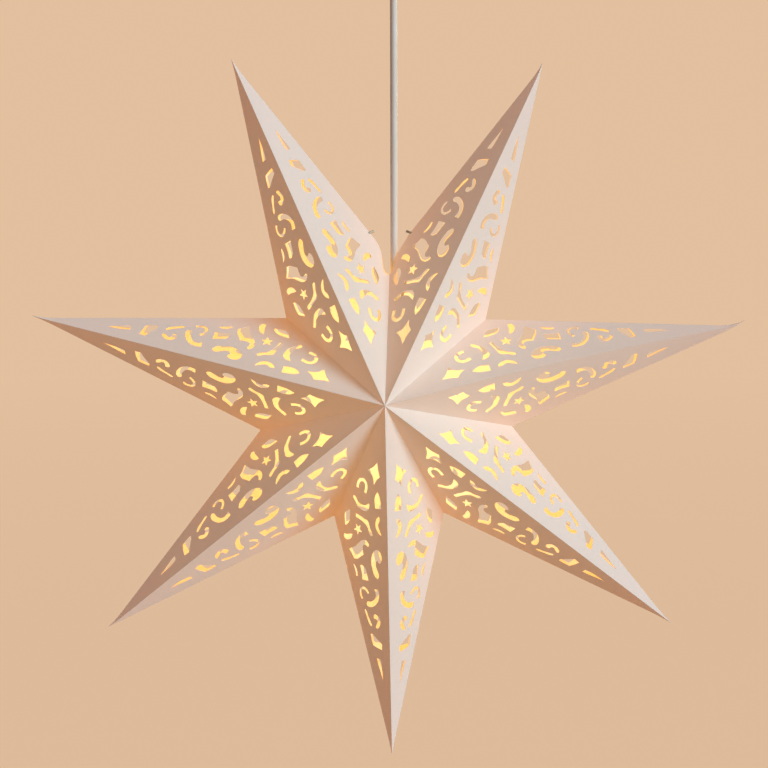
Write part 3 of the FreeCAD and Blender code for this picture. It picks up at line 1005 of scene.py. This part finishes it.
    def lap(self, arm: int) -> Mesh:
        """Cuts the lap that is glued flat inside the rear ridge.

        Args:
            arm: The arm's number.

        Returns:
            The bmesh in millimetres from the star's centre.
        """
        place = PanelPlace(self.plan.pole(Half.REAR), self.plan.tip(arm), self.plan.corner(arm))
        length = place.ridge
        start = place.pole - place.outwards * (self.paper * self.lap_drop)
        inset, width, gap = self.lap_inset, self.lap_width, self.lap_gap
        far = length - inset
        corners = ((inset, gap), (far, gap), (far - width, width), (inset + width, width))
        mesh = bmesh.new()
        verts = [mesh.verts.new(start + place.along * run + place.across * rise) for run, rise in corners]
        face = mesh.faces.new(verts)
        face.material_index = CardFace.INSIDE.value
        grown = bmesh.ops.extrude_face_region(mesh, geom=[face], use_keep_orig=True)["geom"]
        lifted = [item for item in grown if isinstance(item, bmesh.types.BMVert)]
        bmesh.ops.translate(mesh, verts=lifted, vec=-place.outwards * self.paper)
        bmesh.ops.recalc_face_normals(mesh, faces=mesh.faces)
        return mesh

    def build(self) -> list[Piece]:
        """Builds, dresses and places the seven arms.

        Returns:
            The arms, from the top left one leftwards round.
        """
        materials = [self.finish.outside(), self.finish.inside(self.plan.centre())]
        draw = random.Random(BOW_SEED)
        to_row = Matrix.Translation(self.plan.centre()) @ Matrix.Scale(MM, 4)
        arms = []
        for arm, name in enumerate(self.names):
            mesh = self.arm_mesh(arm, draw)
            self.turn_margins_in(mesh, arm)
            self.curl_tip(mesh, arm)
            bmesh.ops.transform(mesh, matrix=to_row, verts=mesh.verts)
            piece = self.thicken(name + "_card", mesh, materials)
            lap = self.lap(arm)
            bmesh.ops.transform(lap, matrix=to_row, verts=lap.verts)
            whole = bmesh.new()
            whole.from_mesh(piece.data)
            pour(whole, lap)
            bpy.data.objects.remove(piece)
            arms.append(settle(mesh_piece(name + "_card", whole, materials), "white_card", name))
        return arms


# The lampholder, the bulb and the wire


@dataclass
class LampHolder:
    """The lampholder on the cord's end, with its bulb and the wire that the star hangs on."""

    plastic: PlasticFinish = PlasticFinish("holder_plastic", (0.83, 0.81, 0.77))
    insert_plastic: PlasticFinish = PlasticFinish("insert_plastic", (0.74, 0.72, 0.68), roughness=0.5)
    wire: SteelFinish = SteelFinish("hook_steel", (0.6, 0.5, 0.38), metallic=0.35)
    base: SteelFinish = SteelFinish("bulb_base_nickel", (0.66, 0.63, 0.56), roughness=0.3)
    opal: OpalFinish = field(default_factory=OpalFinish)
    wall: float = 2.0
    cap_edge: float = 3.4
    edge_round: float = 0.5
    cap_round: float = 0.3
    fit_gap: float = 0.3
    grip_overlap: float = 0.6
    round_from: float = 30.0
    contact: tuple[Point, ...] = ((0.0, 0.0), (3.2, 0.0), (5.0, -2.2))
    thread_radius: float = 7.0
    thread_depth: float = 0.7
    thread_start: float = -3.4
    thread_pitch: float = 2.8
    thread_turns: int = 5
    neck: tuple[Point, ...] = ((6.7, -18.8), (7.0, -20.0), (8.9, -24.2), (9.5, -26.0))
    globe_steps: int = 30

    def shell(self, name: str, profile: list[Point], top: float, material: Material,
              rounding: float) -> Piece:
        """Turns a plastic shell and rounds its sharp edges.

        Args:
            name: The piece's name.
            profile: Its section.
            top: The height of the section's height 0, in metres.
            material: Its material.
            rounding: The radius of its edges in millimetres.

        Returns:
            The piece.
        """
        mesh = turned_mesh(profile, top)
        limit = math.radians(self.round_from)
        folds = [edge for edge in mesh.edges if len(edge.link_faces) == 2]
        sharp = [edge for edge in folds if edge.calc_face_angle() > limit]
        bmesh.ops.bevel(
            mesh, geom=sharp, offset=rounding * MM, offset_type="OFFSET", segments=3, profile=0.5,
            affect="EDGES", material=-1, clamp_overlap=True,
        )
        return mesh_piece(name, mesh, [material])

    def build_cap(self) -> Piece:
        """Turns the cap, with its spigot and a crowned shoulder.

        Returns:
            The piece.
        """
        low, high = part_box("lampholder_cap")
        radius = high.x / MM
        hem = (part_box("lampholder_body")[1].z - high.z) / MM
        foot = (low.z - high.z) / MM
        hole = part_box("holder_cord_grip")[1].x / MM - self.grip_overlap
        spigot = radius - self.wall - self.fit_gap
        shoulder = arc((radius - self.cap_edge, -self.cap_edge), self.cap_edge, 90.0, 0.0, 8)
        profile = [(hole, 0.0), *shoulder, (radius, hem), (spigot, hem), (spigot, foot),
                   (spigot - self.wall, foot), (spigot - self.wall, -self.wall), (hole, -self.wall)]
        material = self.plastic.material()
        piece = self.shell("lampholder_cap_turned", profile, high.z, material, self.cap_round)
        return settle(piece, "holder_plastic", "lampholder_cap")

    def build_body(self) -> Piece:
        """Turns the tubular body.

        Returns:
            The piece.
        """
        low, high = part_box("lampholder_body")
        radius = high.x / MM
        foot = (low.z - high.z) / MM
        inner = radius - self.wall
        profile = [(inner, 0.0), (radius, 0.0), (radius, foot), (inner, foot)]
        material = self.plastic.material()
        piece = self.shell("lampholder_body_turned", profile, high.z, material, self.edge_round)
        return settle(piece, "holder_plastic", "lampholder_body")

    def build_bulb(self) -> Piece:
        """Turns the opal globe bulb with its screw base.

        Returns:
            The piece.
        """
        low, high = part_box("bulb")
        globe = high.x / MM
        foot = (low.z - high.z) / MM
        slant = math.degrees(math.asin(self.neck[-1][0] / globe))
        profile = list(self.contact)
        for turn in range(self.thread_turns):
            start = self.thread_start - self.thread_pitch * turn
            profile.append((self.thread_radius - self.thread_depth, start))
            profile.append((self.thread_radius, start - 0.5 * self.thread_pitch))
        globe_arc = arc((0.0, globe + foot), globe, TOP - slant, -TOP, self.globe_steps)
        profile += [*self.neck, *globe_arc[:-1], (0.0, globe_arc[-1][1])]
        mesh = turned_mesh(profile, high.z)
        edge = high.z + self.neck[1][1] * MM
        for face in mesh.faces:
            face.material_index = 1 if face.calc_center_median().z > edge else 0
        piece = mesh_piece("bulb_opal", mesh, [self.opal.material(), self.base.material()], sharp=50.0)
        return settle(piece, "bulb_glass", "bulb")

    def build_wire(self) -> Piece:
        """Copies the bent wire as one smooth mesh.

        Returns:
            The piece.
        """
        mesh = bmesh.new()
        mesh.from_mesh(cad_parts["hanger_wire"].data)
        bmesh.ops.remove_doubles(mesh, verts=mesh.verts, dist=TURNED_WELD)
        for face in mesh.faces:
            face.material_index = 0
        piece = mesh_piece("hanger_wire_bent", mesh, [self.wire.material()], sharp=40.0)
        return settle(piece, "hook_steel", "hanger_wire")

    def build(self) -> list[Piece]:
        """Builds every piece of the lampholder.

        Returns:
            The new pieces.
        """
        repaint("lampholder_insert", self.insert_plastic)
        grip = CordGrip().build("holder_cord_grip", self.plastic.material(), "holder_plastic", upright=True)
        return [self.build_cap(), self.build_body(), self.build_bulb(), self.build_wire(), grip]


def repaint(node: str, finish: PlasticFinish | SteelFinish) -> None:
    """Gives a new material to a CAD piece that is kept as it is.

    Args:
        node: The piece's CAD node.
        finish: The finish that the material comes from.
    """
    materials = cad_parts[node].data.materials
    materials.clear()
    materials.append(finish.material())


@dataclass(frozen=True)
class CordGrip:
    """A screwed cord grip with a ribbed collar and a spigot."""

    bore: float = 3.15
    flare: float = 0.4
    flare_depth: float = 0.6
    neck: float = 4.6
    spigot: float = 4.0
    chamfer: float = 1.0
    ribs: int = 24
    rib_share: float = 0.035
    rib_start: float = 0.3
    rib_margin: float = 0.2
    steps: int = 96

    def build(self, node: str, material: Material, slot: str, upright: bool) -> Piece:
        """Turns the grip and presses its ribs.

        Args:
            node: The CAD node that it replaces.
            material: Its material.
            slot: The record's slot.
            upright: Whether the collar stands on its seat or hangs under it.

        Returns:
            The piece.
        """
        low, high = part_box(node)
        radius = high.x / MM
        collar = (high.z - low.z) / MM - self.spigot
        crown = arc((radius - self.chamfer, collar - self.chamfer), self.chamfer, 0.0, 90.0, 4)
        profile = [(self.bore + self.flare, collar), (self.bore, collar - self.flare_depth),
                   (self.bore, -self.spigot), (self.neck, -self.spigot), (self.neck, 0.0),
                   (radius, 0.0), *crown]
        mesh = turned_mesh(profile, 0.0, self.steps)
        rib_end = collar - self.chamfer + self.rib_margin
        for vert in mesh.verts:
            reach = math.hypot(vert.co.x, vert.co.y) / MM
            if reach > radius - self.rib_margin and self.rib_start < vert.co.z / MM < rib_end:
                wave = math.cos(self.ribs * math.atan2(vert.co.y, vert.co.x))
                dip = 1.0 - self.rib_share * (0.5 - 0.5 * wave)
                vert.co.x *= dip
                vert.co.y *= dip
        seat = low.z + self.spigot * MM if upright else high.z - self.spigot * MM
        turn_over = Matrix.Identity(4) if upright else Matrix.Rotation(math.pi, 4, "X")
        bmesh.ops.transform(mesh, matrix=Matrix.Translation((0.0, 0.0, seat)) @ turn_over, verts=mesh.verts)
        return settle(mesh_piece(node + "_ribbed", mesh, [material]), slot, node)


# The cord and the ceiling fitting


@dataclass
class CordAndCeiling:
    """The taut cord and the cup, bracket and terminal that it ends in."""

    cord_finish: PlasticFinish = PlasticFinish(
        "cord_plastic", (0.97, 0.82, 0.76), roughness=0.55, grain=500.0,
    )
    cup_finish: PlasticFinish = PlasticFinish("cup_plastic", (0.9, 0.84, 0.78), roughness=0.35)
    bracket_finish: SteelFinish = SteelFinish("bracket_steel", (0.62, 0.62, 0.6))
    terminal_finish: PlasticFinish = PlasticFinish("terminal_plastic", (0.82, 0.8, 0.74), roughness=0.3)
    cord_points: tuple[float, ...] = (-327.3, -222.0, -118.0, -13.0)
    cord_radius: float = 3.0
    cup_edge: float = 10.0
    cup_wall: float = 1.5
    cup_hole: float = 4.9
    cup_steps: int = 96

    def build_cord(self) -> Piece:
        """Hangs the straight, round cord from the terminal into the lampholder.

        Returns:
            The piece.
        """
        curve = bpy.data.curves.new("cord_taut", "CURVE")
        curve.dimensions = "3D"
        curve.bevel_depth = self.cord_radius * MM
        curve.bevel_resolution = 8
        curve.resolution_u = 12
        curve.use_fill_caps = True
        spline = curve.splines.new("NURBS")
        spline.points.add(len(self.cord_points) - 1)
        for point, height in zip(spline.points, self.cord_points):
            point.co = (0.0, 0.0, height * MM, 1.0)
        spline.order_u = 3
        spline.use_endpoint_u = True
        curve.materials.append(self.cord_finish.material())
        return settle(in_scene("cord_taut", curve), "cord_plastic", "cord")

    def build_cup(self) -> Piece:
        """Turns the ceiling cup with its rounded lower edge.

        Returns:
            The piece.
        """
        low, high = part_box("ceiling_cup")
        radius = high.x / MM
        depth = (low.z - high.z) / MM
        edge, wall, hole = self.cup_edge, self.cup_wall, self.cup_hole
        outer = arc((radius - edge, depth + edge), edge, 0.0, -90.0, 12)
        inner = arc((radius - edge, depth + edge), edge - wall, -90.0, 0.0, 10)
        profile = [(radius, 0.0), *outer, (hole, depth), (hole, depth + wall), *inner, (radius - wall, 0.0)]
        mesh = turned_mesh(profile, high.z, self.cup_steps)
        piece = mesh_piece("ceiling_cup_turned", mesh, [self.cup_finish.material()])
        return settle(piece, "cup_plastic", "ceiling_cup")

    def build(self) -> list[Piece]:
        """Returns:
            The new pieces.
        """
        repaint("ceiling_bracket", self.bracket_finish)
        repaint("ceiling_terminal", self.terminal_finish)
        cord = self.build_cord()
        cup = self.build_cup()
        grip = CordGrip().build("ceiling_cord_grip", self.cup_finish.material(), "cup_plastic", upright=False)
        return [cord, cup, grip]


# The stage


@dataclass
class PhotoCamera:
    """The photograph's camera, fitted to the star's tips and corners."""

    distance: float = 1800.0
    across: float = 2.98
    rise: float = -11.79
    pitch: float = 4.649
    roll: float = -0.122
    heading: float = -1.709
    focal_pixels: float = 2113.24
    sensor: float = 36.0

    def build(self, target: Vector) -> Piece:
        """Places the camera before the star.

        Args:
            target: The star's centre in metres.

        Returns:
            The camera, made the scene's own.
        """
        turn = (
            Matrix.Rotation(math.radians(self.pitch), 3, "X")
            @ Matrix.Rotation(math.radians(self.heading), 3, "Z")
            @ Matrix.Rotation(math.radians(self.roll), 3, "Y")
        )
        back = turn.transposed()
        place = target - back @ (Vector((self.across, self.distance, self.rise)) * MM)
        right, up, behind = Vector((1, 0, 0)), Vector((0, 0, 1)), Vector((0, -1, 0))
        axes = Matrix((back @ right, back @ up, back @ behind)).transposed()
        data = bpy.data.cameras.new("photo_camera")
        data.sensor_width = self.sensor
        data.lens = self.focal_pixels * self.sensor / PHOTO_PIXELS
        camera = in_scene("photo_camera", data)
        camera.matrix_world = Matrix.Translation(place) @ axes.to_4x4()
        bpy.context.scene.camera = camera
        return camera


@dataclass(frozen=True)
class SoftSun:
    """A lamp so far away that it lights the whole star alike, wide enough for soft shadows.

    The heading is its height above the horizontal, seen from the front. The other angle is
    how far it stands before the plane of the star, or behind it where it is negative.
    """

    name: str
    heading: float
    forward: float
    strength: float
    colour: Colour
    width: float = 22.0

    def build(self) -> Piece:
        """Hangs the lamp and turns it to the star.

        Returns:
            The lamp.
        """
        forward, heading = math.radians(self.forward), math.radians(self.heading)
        level = math.cos(forward)
        away = Vector((level * math.cos(heading), -math.sin(forward), level * math.sin(heading)))
        data = bpy.data.lights.new(self.name, "SUN")
        data.angle = math.radians(self.width)
        data.energy = self.strength
        data.color = self.colour
        light = in_scene(self.name, data)
        light.rotation_mode = "QUATERNION"
        light.rotation_quaternion = (-away).to_track_quat("-Z", "Y")
        return light


@dataclass
class Studio:
    """A pale surround, a pale floor and two soft, cool lamps on the right.

    The stronger lamp stands in front of the star and the weaker one behind it.
    """

    pale: Colour = (0.765, 0.525, 0.345)
    floor_colour: Colour = (0.84, 0.5, 0.31)
    ambient: Colour = (1.0, 0.98, 0.96)
    ambient_strength: float = 0.15
    floor_height: float = -1050.0
    floor_radius: float = 9.0
    floor_fade: float = 2.5
    floor_lift: float = 0.58
    fade_end: float = 0.98
    key: SoftSun = SoftSun("soft_key", 20.0, 33.0, 2.1, (0.70, 0.92, 1.0))
    fill: SoftSun = SoftSun("rear_fill", 25.0, -62.0, 1.0, (0.80, 0.94, 1.0))

    def build_world(self) -> None:
        """Makes the world pale for the camera and dim for the object."""
        canvas = Canvas("surround", world=True)
        path = canvas.add("LightPath").outputs
        clear = canvas.add("Math", path["Is Glossy Ray"], path["Is Transmission Ray"], operation="MAXIMUM")
        seen = canvas.add("Math", path["Is Camera Ray"], clear.outputs["Value"], operation="MAXIMUM")
        shown = canvas.add("Background", Color=self.pale).outputs["Background"]
        around = canvas.add("Background", Color=self.ambient, Strength=self.ambient_strength)
        mixed = canvas.mix(seen.outputs["Value"], around.outputs["Background"], shown)
        bpy.context.scene.world = canvas.finish(mixed)

    def build_floor(self) -> Piece:
        """Lays the round pale floor, which fades into the surround.

        Returns:
            The floor.
        """
        mesh = bmesh.new()
        bmesh.ops.create_circle(mesh, cap_ends=True, segments=96, radius=self.floor_radius)
        bmesh.ops.translate(mesh, verts=mesh.verts, vec=(0.0, 0.0, self.floor_height * MM))
        canvas = Canvas("pale_floor")
        away = canvas.distance(Vector((0.0, 0.0, self.floor_height * MM)))
        fade = canvas.remap(away, 0.0, 1.0, self.floor_fade, self.floor_radius * self.fade_end)
        laid = canvas.add("BsdfDiffuse", Color=self.floor_colour).outputs["BSDF"]
        lift = canvas.add("Emission", Color=self.pale, Strength=self.floor_lift).outputs["Emission"]
        both = canvas.add("AddShader", laid, lift).outputs["Shader"]
        camera_ray = canvas.add("LightPath").outputs["Is Camera Ray"]
        clear = canvas.add("BsdfTransparent").outputs["BSDF"]
        shader = canvas.mix(fade, canvas.mix(camera_ray, laid, both), clear)
        floor = mesh_piece("pale_floor", mesh, [canvas.finish(shader)])
        return floor

    def build(self) -> None:
        """Sets up the world, the floor and the two lamps."""
        self.build_world()
        self.build_floor()
        self.key.build()
        self.fill.build()


def main() -> None:
    """Builds the lamp and its stage."""
    logging.basicConfig(level=logging.INFO, format="%(name)s %(message)s")
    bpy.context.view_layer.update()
    star = PaperStar()
    centre = star.plan.centre()
    PhotoCamera().build(centre)
    CordAndCeiling().build()
    star.build()
    LampHolder().build()
    Studio().build()
    bpy.context.scene.view_settings.view_transform = "Standard"


if __name__ == "__main__":
    main()
